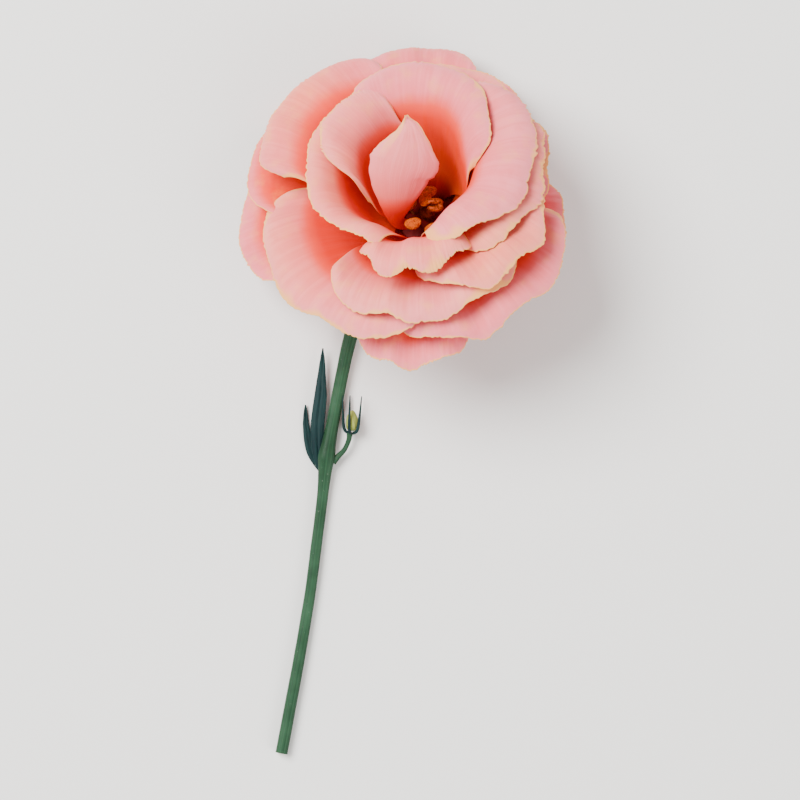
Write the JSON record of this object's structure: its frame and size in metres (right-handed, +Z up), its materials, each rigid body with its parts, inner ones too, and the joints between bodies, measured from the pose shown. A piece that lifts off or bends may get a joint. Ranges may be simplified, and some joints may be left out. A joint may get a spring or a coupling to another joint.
{
  "type": "lisianthus flower",
  "caption": "Double lisianthus flower on a length of cut stem, lying on its back with the open bloom facing up, with overlapping ruffled petals, leafy bracts and a small side bud.",
  "frame": {"origin": "middle of the flower's box, on the surface that it lies on", "axes": "+Y along the stem from its cut end towards the bloom, +Z up, away from the surface and out of the bloom's face"},
  "size_m": [0.0774, 0.1708, 0.0512],
  "materials": {
    "petal": "matte",
    "ovary": "satin",
    "stigma": "matte",
    "filament": "satin",
    "anther": "matte",
    "calyx": "satin",
    "stem": "satin",
    "bract": "satin",
    "bud": "satin"
  },
  "bodies": {
    "root": {"anther_1": "anther", "anther_2": "anther", "anther_3": "anther", "anther_4": "anther", "anther_5": "anther", "bract_long": "bract", "bract_short": "bract", "bud": "bud", "bud_sepal_1": "calyx", "bud_sepal_2": "calyx", "bud_sepal_3": "calyx", "bud_sepal_4": "calyx", "bud_sepal_5": "calyx", "bud_stalk": "stem", "filament_1": "filament", "filament_2": "filament", "filament_3": "filament", "filament_4": "filament", "filament_5": "filament", "ovary": "ovary", "petal_back_left": "petal", "petal_back_right": "petal", "petal_cup_back": "petal", "petal_cup_left": "petal", "petal_cup_right": "petal", "petal_front_left": "petal", "petal_front_right": "petal", "petal_low_back_left": "petal", "petal_low_back_right": "petal", "petal_low_front": "petal", "petal_low_left": "petal", "petal_low_right": "petal", "petal_outer_back": "petal", "petal_outer_front_left": "petal", "petal_outer_front_right": "petal", "petal_outer_left": "petal", "petal_outer_right": "petal", "petal_ring_front": "petal", "petal_ring_left": "petal", "petal_ring_right": "petal", "petaloid": "petal", "receptacle": "calyx", "sepal_1": "calyx", "sepal_2": "calyx", "sepal_3": "calyx", "sepal_4": "calyx", "sepal_5": "calyx", "stem": "stem", "stigma": "stigma"}
  },
  "joints": []
}
